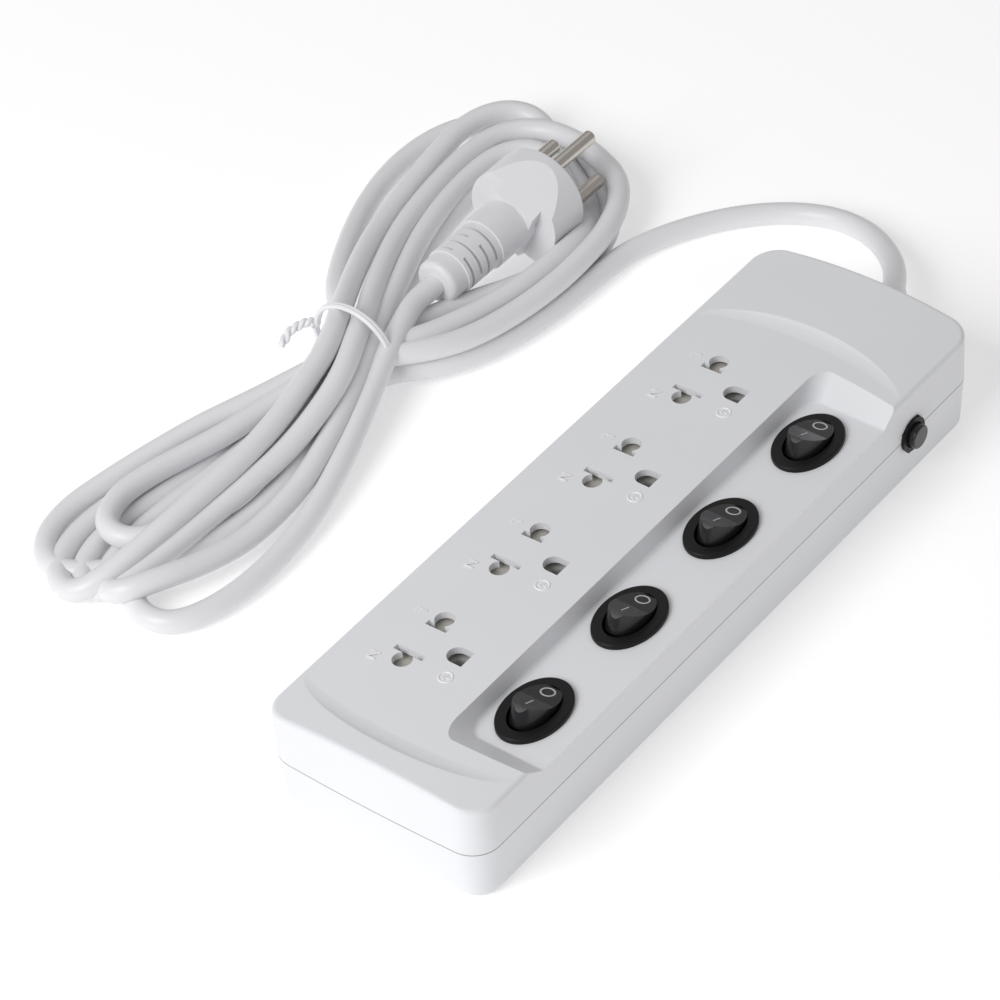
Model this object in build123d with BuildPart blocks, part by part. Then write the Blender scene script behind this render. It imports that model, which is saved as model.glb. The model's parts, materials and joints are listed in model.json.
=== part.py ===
from build123d import *
from math import atan2, cos, degrees, pi, radians, sin, sqrt, tan
import os

# Mains power strip with four switched sockets. Frame: origin on the base plane under the
# housing's middle, +Z up, +Y towards the cord's end, +X towards the switches. Millimetres.
os.makedirs("parts", exist_ok=True)

# ---------------------------------------------------------------- housing
length = 250.0
width = 77.0
height = 38.0
seam_z = 18.5
wall = 2.4
end_bow = 1.0
corner_radius = 9.0
draft_in = 1.2
crown_drop = 3.2
top_edge_radius = 1.5
base_edge_radius = 2.5
lip_height = 1.5
lip_thickness = 1.0
lip_root = 0.5
lip_clearance = 0.15

# Socket area: a flatter crown between two slopes that climb to the end blocks
area_peak = 36.6
area_drop = 1.7
area_near = -117.2
area_far = 95.0
slope_radius = 44.0
slope_depth = 3.5
slope_blend = 12.0

# Switch bay: a sunk floor with sloping sides, open to the +X side
bay_floor = 30.3
bay_left = 10.2
bay_near = -104.0
bay_far = 82.0
bay_left_run = 1.8
bay_near_run = 9.0
bay_far_run = 8.0
bay_corner = 6.0
bay_floor_blend = 1.6
bay_side_rise = 6.2
bay_end_rise = 6.0

# ---------------------------------------------------------------- sockets
sockets = 4
pitch = 44.95
socket_x = -16.9
first_socket_y = -77.0
slot_offset = 6.35
slot_width = 2.0
line_slot_length = 7.4
neutral_slot_length = 10.3
round_offset = 9.75
round_radius = 3.05
earth_offset = 12.3
earth_radius = 3.25
earth_flat = 3.6

# Shutter: one sprung plate per socket behind the line and neutral holes
shutter_left = 5.5
shutter_right = 5.4
shutter_half_length = 13.6
shutter_headroom = 0.27
shutter_thickness = 1.2
shutter_travel = 8.0

# Carrier plate that guides the shutters
carrier_thickness = 3.3
carrier_gap = 0.4
carrier_right = 5.0
carrier_margin = 22.0

# Brass contacts
leaf = 0.7
contact_half_gap = 2.9
contact_centre = 8.0
contact_width = 7.0
contact_top = 27.0
bar_bottom = 9.0
bar_thickness = 0.8
bar_width = 8.0
line_base = 13.4
line_drop_x = -11.0
tail_top = 7.5

# ---------------------------------------------------------------- rocker switches
rocker_x = 23.0
first_rocker_y = -78.2
bezel_half_width = 9.6
bezel_half_length = 13.8
bezel_thickness = 1.6
bezel_edge = 0.7
switch_half_width = 7.9
switch_half_length = 12.1
switch_bottom = 13.0
switch_clearance = 0.1
neck_half_width = 6.4
neck_half_length = 10.1
neck_bottom = 20.5
pivot_z = 30.2
pivot_radius = 1.0
pivot_clearance = 0.05
pivot_reach = 6.9
paddle_half_width = 5.8
paddle_half_length = 8.9
paddle_swing_radius = 9.5
paddle_valley = 4.3
paddle_vee = 5.0
paddle_tilt = 20.0
paddle_skirt = 1.8
keel_half_width = 3.0
keel_half_length = 4.0
keel_depth = 5.5
tab_width = 6.3
tab_thickness = 0.8
tab_offset = 5.0
feed_top = 5.5
feed_width = 6.0

# ---------------------------------------------------------------- breaker
breaker_y = 88.9
breaker_left = 13.0
breaker_gap = 0.3
breaker_depth = 13.0
breaker_height = 18.0
bush_wall = 1.0
collar_rim = 0.75
collar_thickness = 1.0
collar_nib = 0.7
button_radius = 4.0
button_clearance = 0.06
button_travel = 2.4
button_proud = collar_thickness + button_travel
button_inner = 33.0
spring_seat = 27.0

# ---------------------------------------------------------------- cord and its entry
cord_diameter = 7.5
boot_neck_radius = 5.4
boot_flange_radius = 7.4
boot_flange = 2.2
boot_base_radius = 6.3
boot_tip_radius = 4.35
boot_bend_radius = 38.0
boot_bend = 30.0
boot_dip = 25.0
entry_clearance = 0.1
clamp_y = 110.0
clamp_width = 6.0
clamp_post_x = 10.0
entry_end = 104.0
core_diameter = 2.4

# ---------------------------------------------------------------- plug, lying along +Y
plug_x = -128.6
plug_z = 17.1
plug_face = 125.1
plug_roll = 22.0
head_radius = 17.0
head_full = 4.0
head_length = 16.0
neck_start = 20.0
neck_radius = 9.2
relief_start = 33.0
relief_radius = 8.5
bead_start = 50.0
bead_radius = 7.8
plug_length = 57.3
pin_radius = 2.4
pin_length = 19.0
earth_pin_length = 21.4
pin_spread = 9.5
earth_pin_rise = 11.89

# ---------------------------------------------------------------- fasteners
screw_radius = 1.4
thread_clearance = 0.05
screw_head_radius = 2.9
screw_head = 2.2
boss_radius = 3.8
screw_seat = 6.0

half_width = width / 2
half_length = length / 2
socket_ys = [first_socket_y + pitch * i for i in range(sockets)]
rocker_ys = [first_rocker_y + pitch * i for i in range(sockets)]
rib_ys = [y + pitch / 2 for y in socket_ys[:-1]]
cord_radius = cord_diameter / 2
bush_radius = button_radius + bush_wall
collar_radius = bush_radius + collar_rim
inner_face_x = half_width - wall - draft_in
carrier_left = carrier_gap - inner_face_x
breaker_right = inner_face_x - breaker_gap


def save(built, node):
    """Label a finished piece with its node's name and write it."""
    built.part.label = node
    export_step(built.part, f"parts/{node}.step")


def crown_radius(drop):
    """Radius of the arc that falls by drop over half the width."""
    return (half_width**2 + drop**2) / (2 * drop)


def housing_outline(plane, inset):
    """Plan of the housing, moved in by inset: bowed ends and round corners."""
    x = half_width - inset
    y = half_length - inset
    with BuildSketch(plane) as outline:
        with BuildLine():
            Line((-x, end_bow - y), (-x, y - end_bow))
            ThreePointArc((-x, y - end_bow), (0, y), (x, y - end_bow))
            Line((x, y - end_bow), (x, end_bow - y))
            ThreePointArc((x, end_bow - y), (0, -y), (-x, end_bow - y))
        make_face()
        fillet(outline.vertices(), radius=corner_radius - inset)
    return outline.sketch


def crown_body(peak, drop):
    """Everything under a crown that runs the length of the housing."""
    radius = crown_radius(drop)
    with BuildPart() as crown:
        with BuildSketch(Plane.XZ):
            with Locations((0, peak - radius)):
                Circle(radius)
        extrude(amount=length, both=True)
    return crown.part


def oval(plane, x, y, half_x, half_y):
    """An ellipse centred on x, y in the plane."""
    with BuildSketch(plane) as shape:
        with Locations((x, y)):
            Ellipse(half_x, half_y)
    return shape.sketch


def crown_z(peak, drop, x):
    """Height of a crown at x."""
    radius = crown_radius(drop)
    return peak - radius + sqrt(radius**2 - x**2)


# Screw bosses: four at the corners, one each side at mid-length. Each rises into its ceiling.
boss_inset = 9.0
boss_end_inset = 13.0
boss_gap = 0.25
corner_x = half_width - boss_inset
corner_y = half_length - boss_end_inset
middle_boss_x = half_width - wall - lip_clearance - lip_thickness - boss_radius - boss_gap
middle_boss_y = rocker_ys[1] + pitch / 2
boss_places = [(x, y) for x in (-corner_x, corner_x) for y in (-corner_y, corner_y)]
boss_places += [(-middle_boss_x, middle_boss_y), (middle_boss_x, middle_boss_y)]
boss_bite = 0.8
corner_ceiling = crown_z(area_peak - wall, area_drop, corner_x - boss_radius)
side_ceiling = crown_z(area_peak - wall, area_drop, middle_boss_x - boss_radius)
boss_tops = [corner_ceiling + boss_bite] * 4 + [side_ceiling + boss_bite, bay_floor - wall + boss_bite]

# Shutters slide just under the ceiling, on the carrier plate
shutter_back = shutter_left + 1.0
open_ceiling = crown_z(area_peak - wall, area_drop, socket_x - shutter_back - shutter_travel)
shutter_bottom = open_ceiling - shutter_headroom - shutter_thickness
shutter_float = 0.1
carrier_top = shutter_bottom - shutter_float
carrier_bottom = carrier_top - carrier_thickness

# ================================================================ top cover
crown = crown_body(height, crown_drop)
area_crown = crown_body(area_peak, area_drop)
ceiling_crown = crown_body(area_peak - wall, area_drop)

# Space over the socket area: above the flatter crown, inside a long slot seen from the side
slope_reach = sqrt(2 * slope_radius * slope_depth - slope_depth**2)
slope_centre_z = height - slope_depth + slope_radius
near_centre = area_near + slope_reach
far_centre = area_far - slope_reach
with BuildPart() as area_space:
    with BuildSketch(Plane.YZ):
        with Locations(((near_centre + far_centre) / 2, slope_centre_z)):
            SlotCenterToCenter(far_centre - near_centre, 2 * slope_radius)
    extrude(amount=half_width + 3, both=True)
    add(area_crown, mode=Mode.SUBTRACT)
    creases = area_space.edges().filter_by(
        lambda edge: edge.center().Z < height and edge.geom_type == GeomType.BSPLINE
    )
    fillet(creases, radius=slope_blend)

# Space of the switch bay
bay_rise = height - bay_floor
bay_left_top = bay_left - bay_left_run * (bay_rise / bay_side_rise - 1)
bay_near_top = bay_near - bay_near_run * (bay_rise / bay_end_rise - 1)
bay_far_top = bay_far + bay_far_run * (bay_rise / bay_end_rise - 1)
with BuildPart() as bay_space:
    with BuildSketch(Plane.XZ):
        with BuildLine():
            Polyline(
                (bay_left + bay_left_run, bay_floor),
                (bay_left_top, height),
                (bay_left_top, height + 10),
                (half_width + 10, height + 10),
                (half_width + 10, bay_floor),
                close=True,
            )
        make_face()
    extrude(amount=length, both=True)
    with BuildSketch(Plane.YZ):
        with BuildLine():
            Polyline(
                (bay_near + bay_near_run, bay_floor),
                (bay_near_top, height),
                (bay_near_top, height + 10),
                (bay_far_top, height + 10),
                (bay_far_top, height),
                (bay_far - bay_far_run, bay_floor),
                close=True,
            )
        make_face()
    extrude(amount=width, both=True, mode=Mode.INTERSECT)
    slant_corners = bay_space.edges().filter_by(
        lambda edge: abs(edge.tangent_at(0.5).Z) > 0.3 and edge.center().X < half_width
        and edge.center().Z < height
    )
    fillet(slant_corners, radius=bay_corner)
    floor_edges = bay_space.edges().filter_by(
        lambda edge: abs(edge.center().Z - bay_floor) < 0.01 and edge.center().X < half_width + 9
    )
    fillet(floor_edges, radius=bay_floor_blend)

with BuildPart() as top_cover:
    add(housing_outline(Plane.XY.offset(seam_z), 0))
    extrude(amount=height)
    add(crown, mode=Mode.INTERSECT)
    rim = top_cover.faces().sort_by(Axis.Z)[-1].edges()
    fillet(rim, radius=top_edge_radius)
    add(area_space.part, mode=Mode.SUBTRACT)
    add(bay_space.part, mode=Mode.SUBTRACT)

with BuildPart() as cavity:
    add(housing_outline(Plane.XY.offset(seam_z), wall))
    extrude(amount=height)
    add(ceiling_crown, mode=Mode.INTERSECT)
    with BuildSketch(Plane.XY.offset(bay_floor - wall)):
        with Locations(((bay_left - 1 + width) / 2, (bay_near + bay_far) / 2)):
            Rectangle(width - bay_left + 1, bay_far - bay_near)
    extrude(amount=height, mode=Mode.SUBTRACT)

def socket_holes(plane, y):
    """The three holes of one socket, seen from above."""
    line_round = (socket_x, y + round_offset)
    neutral_round = (socket_x, y - round_offset)
    with BuildSketch(plane) as holes:
        with Locations(line_round, neutral_round):
            Circle(round_radius)
        with Locations((socket_x, y + slot_offset)):
            Rectangle(line_slot_length, slot_width)
        with Locations((socket_x, y - slot_offset)):
            Rectangle(neutral_slot_length, slot_width)
        with Locations((socket_x + earth_offset, y)):
            Circle(earth_radius)
        with Locations((socket_x + earth_offset + earth_flat / 2, y)):
            Rectangle(earth_flat, 2 * earth_radius)
    return holes.sketch


with BuildPart() as top_shell:
    add(top_cover.part)
    add(cavity.part, mode=Mode.SUBTRACT)
    for (x, y), top in zip(boss_places, boss_tops):
        with BuildSketch(Plane.XY.offset(seam_z)):
            with Locations((x, y)):
                Circle(boss_radius)
        extrude(amount=top - seam_z)
        with BuildSketch(Plane.XY.offset(seam_z)):
            with Locations((x, y)):
                Circle(screw_radius + thread_clearance)
        extrude(amount=top - seam_z - 3.0, mode=Mode.SUBTRACT)
    for y in socket_ys:
        add(socket_holes(Plane.XY.offset(carrier_top), y))
        extrude(amount=height, mode=Mode.SUBTRACT)
    for y in rocker_ys:
        add(
            oval(
                Plane.XY.offset(seam_z),
                rocker_x,
                y,
                switch_half_width + switch_clearance,
                switch_half_length + switch_clearance,
            )
        )
        extrude(amount=height, mode=Mode.SUBTRACT)
    with BuildSketch(Plane.YZ.offset(half_width - wall - 1)):
        with Locations((breaker_y, seam_z)):
            Circle(bush_radius + entry_clearance)
    extrude(amount=wall + 2, mode=Mode.SUBTRACT)
    with BuildSketch(Plane.XZ.offset(-half_length - 1)):
        with Locations((0, seam_z)):
            Circle(boot_neck_radius + entry_clearance)
    extrude(amount=wall + 2, mode=Mode.SUBTRACT)
save(top_shell, "top_cover")

# ================================================================ bottom cover
floor = wall
rib_half = 1.5
support_x = (-24.0, 2.0)
with BuildPart() as bottom_cover:
    add(housing_outline(Plane.XY.offset(seam_z), 0))
    extrude(amount=-seam_z, taper=degrees(atan2(draft_in, seam_z)))
    fillet(bottom_cover.faces().sort_by(Axis.Z)[0].edges(), radius=base_edge_radius)
    add(housing_outline(Plane.XY.offset(floor), wall + draft_in))
    extrude(amount=seam_z, mode=Mode.SUBTRACT)
    # Lip that stands inside the top cover's wall
    lip_inset = wall + lip_clearance
    with BuildSketch(Plane.XY.offset(seam_z - lip_root)):
        add(housing_outline(Plane.XY, lip_inset))
        add(housing_outline(Plane.XY, lip_inset + lip_thickness), mode=Mode.SUBTRACT)
    extrude(amount=lip_height + lip_root)
    # Screw bosses, with a seat for each head
    with BuildSketch(Plane.XY.offset(floor / 2)):
        with Locations(*boss_places):
            Circle(boss_radius)
    extrude(amount=seam_z - floor / 2)
    with BuildSketch(Plane.XY.offset(-1)):
        with Locations(*boss_places):
            Circle(screw_radius + 4 * thread_clearance)
    extrude(amount=seam_z + 2, mode=Mode.SUBTRACT)
    with BuildSketch(Plane.XY.offset(-1)):
        with Locations(*boss_places):
            Circle(screw_head_radius + 4 * thread_clearance)
    extrude(amount=screw_seat + 1, mode=Mode.SUBTRACT)
    # Posts that carry the carrier plate and the bars
    for y in rib_ys:
        with BuildSketch(Plane.XY.offset(floor / 2)):
            with Locations(*[(x, y) for x in support_x]):
                Rectangle(4, 2 * rib_half)
        extrude(amount=carrier_bottom - floor / 2)
        with BuildSketch(Plane.XY.offset(floor / 2)):
            with Locations((socket_x, y), (socket_x + earth_offset, y)):
                Rectangle(bar_width - 2, 2 * rib_half)
        extrude(amount=bar_bottom - floor / 2)
    # Saddle under the cord, and posts for its clamp's screws
    with BuildSketch(Plane.XY.offset(floor / 2)):
        with Locations((0, clamp_y)):
            Rectangle(cord_diameter + 1.5, clamp_width)
        with Locations((-clamp_post_x, clamp_y), (clamp_post_x, clamp_y)):
            Circle(3.2)
    extrude(amount=seam_z - 1.5 - floor / 2)
    with BuildSketch(Plane.XZ.offset(-clamp_y - clamp_width)):
        with Locations((0, seam_z)):
            Circle(cord_radius + entry_clearance)
    extrude(amount=2 * clamp_width, mode=Mode.SUBTRACT)
    with BuildSketch(Plane.XY.offset(seam_z - 12)):
        with Locations((-clamp_post_x, clamp_y), (clamp_post_x, clamp_y)):
            Circle(screw_radius + thread_clearance)
    extrude(amount=20, mode=Mode.SUBTRACT)
    # Half holes for the breaker's bush and the boot's neck
    with BuildSketch(Plane.YZ.offset(half_width - wall - draft_in - 1)):
        with Locations((breaker_y, seam_z)):
            Circle(bush_radius + entry_clearance)
    extrude(amount=wall + draft_in + 2, mode=Mode.SUBTRACT)
    with BuildSketch(Plane.XZ.offset(-half_length - 1)):
        with Locations((0, seam_z)):
            Circle(boot_neck_radius + entry_clearance)
    extrude(amount=wall + draft_in + 2, mode=Mode.SUBTRACT)
save(bottom_cover, "bottom_cover")

# ================================================================ cover screws
screw_depth = seam_z + 6.5
with BuildPart() as cover_screws:
    with BuildSketch(Plane.XY.offset(screw_seat - screw_head)):
        with Locations(*boss_places):
            Circle(screw_head_radius)
    extrude(amount=screw_head)
    with BuildSketch(Plane.XY.offset(screw_seat)):
        with Locations(*boss_places):
            Circle(screw_radius)
    extrude(amount=screw_depth - screw_seat)
    with BuildSketch(Plane.XY.offset(screw_seat - screw_head)):
        with Locations(*boss_places):
            Rectangle(3.2, 0.7)
            Rectangle(0.7, 3.2)
    extrude(amount=1.2, mode=Mode.SUBTRACT)
save(cover_screws, "cover_screws")

# ================================================================ shutters, springs and carrier
shutter_mid_x = socket_x + (shutter_right - shutter_left) / 2
guide_gap = 0.3
spring_play = 0.1
post_depth = 1.5
post_width = 4.0
rail_reach = 10.0
rail_boss_gap = 0.2
spring_wire = 0.3
spring_radius = 0.5
spring_turns = 5
spring_end = socket_x - shutter_back
spring_left = spring_end - shutter_travel - spring_turns * spring_wire - spring_play
post_left = max(carrier_left, spring_left - post_depth)
for number, y in enumerate(socket_ys, start=1):
    with BuildPart() as shutter:
        with BuildSketch(Plane.XY.offset(shutter_bottom)):
            with Locations((shutter_mid_x, y)):
                Rectangle(shutter_left + shutter_right, 2 * shutter_half_length)
        extrude(amount=shutter_thickness)
        with BuildSketch(Plane.XY.offset(shutter_bottom)):
            with Locations((socket_x - shutter_left - 0.5, y)):
                Rectangle(1.0, 3.0)
        extrude(amount=shutter_thickness)
    save(shutter, f"shutter_{number}")
    turns_length = spring_end - spring_left - 2 * spring_wire
    with BuildPart() as shutter_spring:
        with BuildLine() as coil:
            Helix(pitch=turns_length / spring_turns, height=turns_length, radius=spring_radius)
        with BuildSketch(Plane(origin=coil.line @ 0, z_dir=coil.line % 0)):
            Circle(spring_wire / 2)
        sweep(is_frenet=True)
    shutter_spring.part.locate(
        Location((spring_left + spring_wire, y, shutter_bottom + shutter_thickness / 2), (0, 90, 0))
    )
    save(shutter_spring, f"shutter_spring_{number}")


with BuildPart() as socket_carrier:
    carrier_y0 = socket_ys[0] - carrier_margin
    carrier_y1 = socket_ys[-1] + carrier_margin
    with BuildSketch(Plane.XY.offset(carrier_bottom)):
        with Locations(((carrier_left + carrier_right) / 2, (carrier_y0 + carrier_y1) / 2)):
            Rectangle(carrier_right - carrier_left, carrier_y1 - carrier_y0)
        with Locations((-middle_boss_x, middle_boss_y)):
            Circle(boss_radius + guide_gap, mode=Mode.SUBTRACT)
    extrude(amount=carrier_top - carrier_bottom)
    rail_width = pitch - 2 * (shutter_half_length + guide_gap)
    rail_left = max(socket_x - rail_reach, boss_radius + rail_boss_gap - middle_boss_x)
    rail_right = socket_x + rail_reach
    with BuildSketch(Plane.XY.offset(carrier_top)):
        with Locations(*[((rail_left + rail_right) / 2, y) for y in rib_ys]):
            Rectangle(rail_right - rail_left, rail_width)
        with Locations(*[((post_left + spring_left) / 2, y) for y in socket_ys]):
            Rectangle(spring_left - post_left, post_width)
    extrude(amount=shutter_thickness - guide_gap)
    for y in socket_ys:
        add(socket_holes(Plane.XY.offset(carrier_bottom - 1), y))
        extrude(amount=carrier_top - carrier_bottom + 2, mode=Mode.SUBTRACT)
save(socket_carrier, "socket_carrier")

# ================================================================ contacts and bars
leaf_centre = contact_half_gap + leaf / 2
tail_y = first_rocker_y - first_socket_y + tab_offset
drop_y0 = contact_centre - contact_half_gap - leaf
drop_y1 = tail_y + 2.5


def contact_leaves(x, y, bottom):
    """Two upright leaves that grip a pin between them."""
    with BuildSketch(Plane.XY.offset(bottom)) as leaves:
        with Locations((x, y - leaf_centre), (x, y + leaf_centre)):
            Rectangle(contact_width, leaf)
    return leaves.sketch


for number, y in enumerate(socket_ys, start=1):
    with BuildPart() as line_contact:
        with BuildSketch(Plane.XY.offset(line_base)):
            with Locations((socket_x, y + contact_centre)):
                Rectangle(contact_width, 2 * (contact_half_gap + leaf))
            with Locations(((socket_x + line_drop_x) / 2, y + (drop_y0 + drop_y1) / 2)):
                Rectangle(line_drop_x - socket_x + leaf, drop_y1 - drop_y0)
        extrude(amount=leaf)
        add(contact_leaves(socket_x, y + contact_centre, line_base))
        extrude(amount=contact_top - line_base)
        with BuildSketch(Plane.XY.offset(tail_top - bar_thickness)):
            with Locations((line_drop_x, y + (drop_y0 + drop_y1) / 2)):
                Rectangle(leaf, drop_y1 - drop_y0)
        extrude(amount=line_base + leaf - tail_top + bar_thickness)
        tail_x0 = line_drop_x - leaf / 2
        tail_x1 = rocker_x + tab_width / 2
        with BuildSketch(Plane.XY.offset(tail_top - bar_thickness)):
            with Locations(((tail_x0 + tail_x1) / 2, y + tail_y)):
                Rectangle(tail_x1 - tail_x0, 5)
        extrude(amount=bar_thickness)
    save(line_contact, f"line_contact_{number}")

bar_y0 = socket_ys[0] - 14
bar_y1 = socket_ys[-1] + 14
for node, x, shift in (
    ("neutral_bar", socket_x, -contact_centre),
    ("earth_bar", socket_x + earth_offset, 0.0),
):
    with BuildPart() as bar:
        with BuildSketch(Plane.XY.offset(bar_bottom)):
            with Locations((x, (bar_y0 + bar_y1) / 2)):
                Rectangle(bar_width, bar_y1 - bar_y0)
        extrude(amount=bar_thickness)
        for y in socket_ys:
            add(contact_leaves(x, y + shift, bar_bottom))
            extrude(amount=contact_top - bar_bottom)
    save(bar, node)

# ================================================================ rocker switches
for number, y in enumerate(rocker_ys, start=1):
    with BuildPart() as rocker_housing:
        add(oval(Plane.XY.offset(bay_floor), rocker_x, y, bezel_half_width, bezel_half_length))
        extrude(amount=bezel_thickness)
        fillet(rocker_housing.faces().sort_by(Axis.Z)[-1].edges(), radius=bezel_edge)
        add(oval(Plane.XY.offset(switch_bottom), rocker_x, y, switch_half_width, switch_half_length))
        extrude(amount=bay_floor - switch_bottom)
        # Latches under the cover
        for side in (-1, 1):
            with BuildSketch(Plane.XY.offset(bay_floor - wall - 3.3)):
                with Locations((rocker_x, y + side * switch_half_length)):
                    Rectangle(5, 1.4)
            extrude(amount=3.2)
        add(oval(Plane.XY.offset(neck_bottom), rocker_x, y, neck_half_width, neck_half_length))
        extrude(amount=height, mode=Mode.SUBTRACT)
        with BuildSketch(Plane.YZ.offset(rocker_x - pivot_reach - pivot_clearance)):
            with Locations((y, pivot_z)):
                Circle(pivot_radius + pivot_clearance)
        extrude(amount=2 * (pivot_reach + pivot_clearance), mode=Mode.SUBTRACT)
    save(rocker_housing, f"rocker_housing_{number}")

    # Paddle about its own pivot, then tilted to OFF
    with BuildPart() as rocker:
        add(oval(Plane.XY.offset(-paddle_skirt), 0, 0, paddle_half_width, paddle_half_length))
        extrude(amount=paddle_skirt + paddle_swing_radius)
        rise = paddle_swing_radius * tan(radians(paddle_vee))
        with BuildSketch(Plane.YZ):
            with BuildLine():
                Polyline(
                    (-paddle_swing_radius, -paddle_skirt),
                    (-paddle_swing_radius, paddle_valley + rise),
                    (0, paddle_valley),
                    (paddle_swing_radius, paddle_valley + rise),
                    (paddle_swing_radius, -paddle_skirt),
                    close=True,
                )
            make_face()
        extrude(amount=paddle_half_width + 1, both=True, mode=Mode.INTERSECT)
        with BuildSketch(Plane.YZ):
            Circle(paddle_swing_radius)
        extrude(amount=paddle_half_width + 1, both=True, mode=Mode.INTERSECT)
        with BuildSketch(Plane.XY.offset(-keel_depth)):
            Rectangle(2 * keel_half_width, 2 * keel_half_length)
        extrude(amount=keel_depth)
        with BuildSketch(Plane.YZ):
            Circle(pivot_radius)
        extrude(amount=pivot_reach, both=True)
    rocker.part.locate(Location((rocker_x, y, pivot_z), (-paddle_tilt, 0, 0)))
    save(rocker, f"rocker_{number}")

    with BuildPart() as switch_tabs:
        with BuildSketch(Plane.XY.offset(feed_top)):
            with Locations((rocker_x, y - tab_offset)):
                Rectangle(tab_width, tab_thickness)
        extrude(amount=switch_bottom - feed_top)
        with BuildSketch(Plane.XY.offset(tail_top)):
            with Locations((rocker_x, y + tab_offset)):
                Rectangle(tab_width, tab_thickness)
        extrude(amount=switch_bottom - tail_top)
    save(switch_tabs, f"switch_tabs_{number}")

# ================================================================ breaker
breaker_bottom = seam_z - breaker_height / 2
with BuildPart() as feed_bar:
    feed_y0 = rocker_ys[0] - tab_offset - 3
    feed_y1 = breaker_y
    with BuildSketch(Plane.XY.offset(feed_top - bar_thickness)):
        with Locations((rocker_x, (feed_y0 + feed_y1) / 2)):
            Rectangle(feed_width, feed_y1 - feed_y0)
    extrude(amount=bar_thickness)
save(feed_bar, "feed_bar")

live_tab_x = 8.4
live_tab_y = 84.6
with BuildPart() as breaker_tabs:
    with BuildSketch(Plane.XY.offset(feed_top)):
        with Locations((rocker_x, breaker_y - 3.0)):
            Rectangle(tab_width - 2, tab_thickness)
    extrude(amount=breaker_bottom - feed_top)
    live_tab_left = live_tab_x - core_diameter
    with BuildSketch(Plane.XY.offset(seam_z - tab_thickness / 2)):
        with Locations(((live_tab_left + breaker_left) / 2, live_tab_y - 1)):
            Rectangle(breaker_left - live_tab_left, 2)
    extrude(amount=tab_thickness)
save(breaker_tabs, "breaker_tabs")

with BuildPart() as breaker_body:
    with BuildSketch(Plane.XY.offset(breaker_bottom)):
        with Locations(((breaker_left + breaker_right) / 2, breaker_y)):
            Rectangle(breaker_right - breaker_left, breaker_depth)
    extrude(amount=breaker_height)
    with BuildSketch(Plane.YZ.offset(breaker_right)):
        with Locations((breaker_y, seam_z)):
            Circle(bush_radius)
    extrude(amount=half_width - breaker_right)
    with BuildSketch(Plane.YZ.offset(spring_seat)):
        with Locations((breaker_y, seam_z)):
            Circle(button_radius + button_clearance)
    extrude(amount=half_width, mode=Mode.SUBTRACT)
save(breaker_body, "breaker_body")

with BuildPart() as breaker_collar:
    with BuildSketch(Plane.YZ.offset(half_width)):
        with Locations((breaker_y, seam_z)):
            Circle(collar_radius)
            with PolarLocations(collar_radius - 0.3, 4, start_angle=60):
                Circle(collar_nib)
            Circle(button_radius + 0.3, mode=Mode.SUBTRACT)
    extrude(amount=collar_thickness)
save(breaker_collar, "breaker_collar")

with BuildPart() as reset_button:
    with BuildSketch(Plane.YZ.offset(button_inner)):
        with Locations((breaker_y, seam_z)):
            Circle(button_radius)
    extrude(amount=half_width + button_proud - button_inner)
    fillet(reset_button.faces().sort_by(Axis.X)[-1].edges(), radius=0.6)
save(reset_button, "reset_button")

with BuildPart() as reset_spring:
    reset_wire = 0.5
    reset_length = button_inner - spring_seat - reset_wire
    with BuildLine() as reset_coil:
        Helix(pitch=reset_length / 4, height=reset_length, radius=2.8)
    with BuildSketch(Plane(origin=reset_coil.line @ 0, z_dir=reset_coil.line % 0)):
        Circle(reset_wire / 2)
    sweep(is_frenet=True)
reset_spring.part.locate(
    Location((spring_seat + reset_wire / 2, breaker_y, seam_z), (0, 90, 0))
)
save(reset_spring, "reset_spring")

# ================================================================ cord entry
boot_inner = half_length - wall - draft_in - 0.1
dip = radians(boot_dip)
lean = Vector(-cos(dip), 0, -sin(dip))


def boot_plane(angle):
    """Section plane of the boot where it has bent through angle degrees."""
    turn = radians(angle)
    centre = Vector(0, half_length, seam_z) + Vector(0, 1, 0) * boot_bend_radius * sin(turn)
    centre += lean * boot_bend_radius * (1 - cos(turn))
    heading = Vector(0, 1, 0) * cos(turn) + lean * sin(turn)
    return Plane(origin=centre, x_dir=Vector(0, 0, 1), z_dir=heading)


boot_tip = boot_plane(boot_bend)
with BuildPart() as cord_boot:
    with BuildSketch(Plane.XZ.offset(-boot_inner)):
        with Locations((0, seam_z)):
            Circle(boot_flange_radius)
    extrude(amount=boot_flange)
    with BuildSketch(Plane.XZ.offset(-half_length)):
        with Locations((0, seam_z)):
            Circle(boot_neck_radius)
    extrude(amount=half_length - boot_inner)
    stations = 6
    for step in range(stations):
        share = step / (stations - 1)
        with BuildSketch(boot_plane(boot_bend * share)):
            Circle(boot_base_radius + (boot_tip_radius - boot_base_radius) * share)
    loft()
save(cord_boot, "cord_boot")

with BuildPart() as cord_entry:
    with BuildSketch(Plane.XZ.offset(-boot_inner + boot_flange)):
        with Locations((0, seam_z)):
            Circle(cord_radius)
    extrude(amount=boot_inner - boot_flange - entry_end)
save(cord_entry, "cord_entry")

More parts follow.
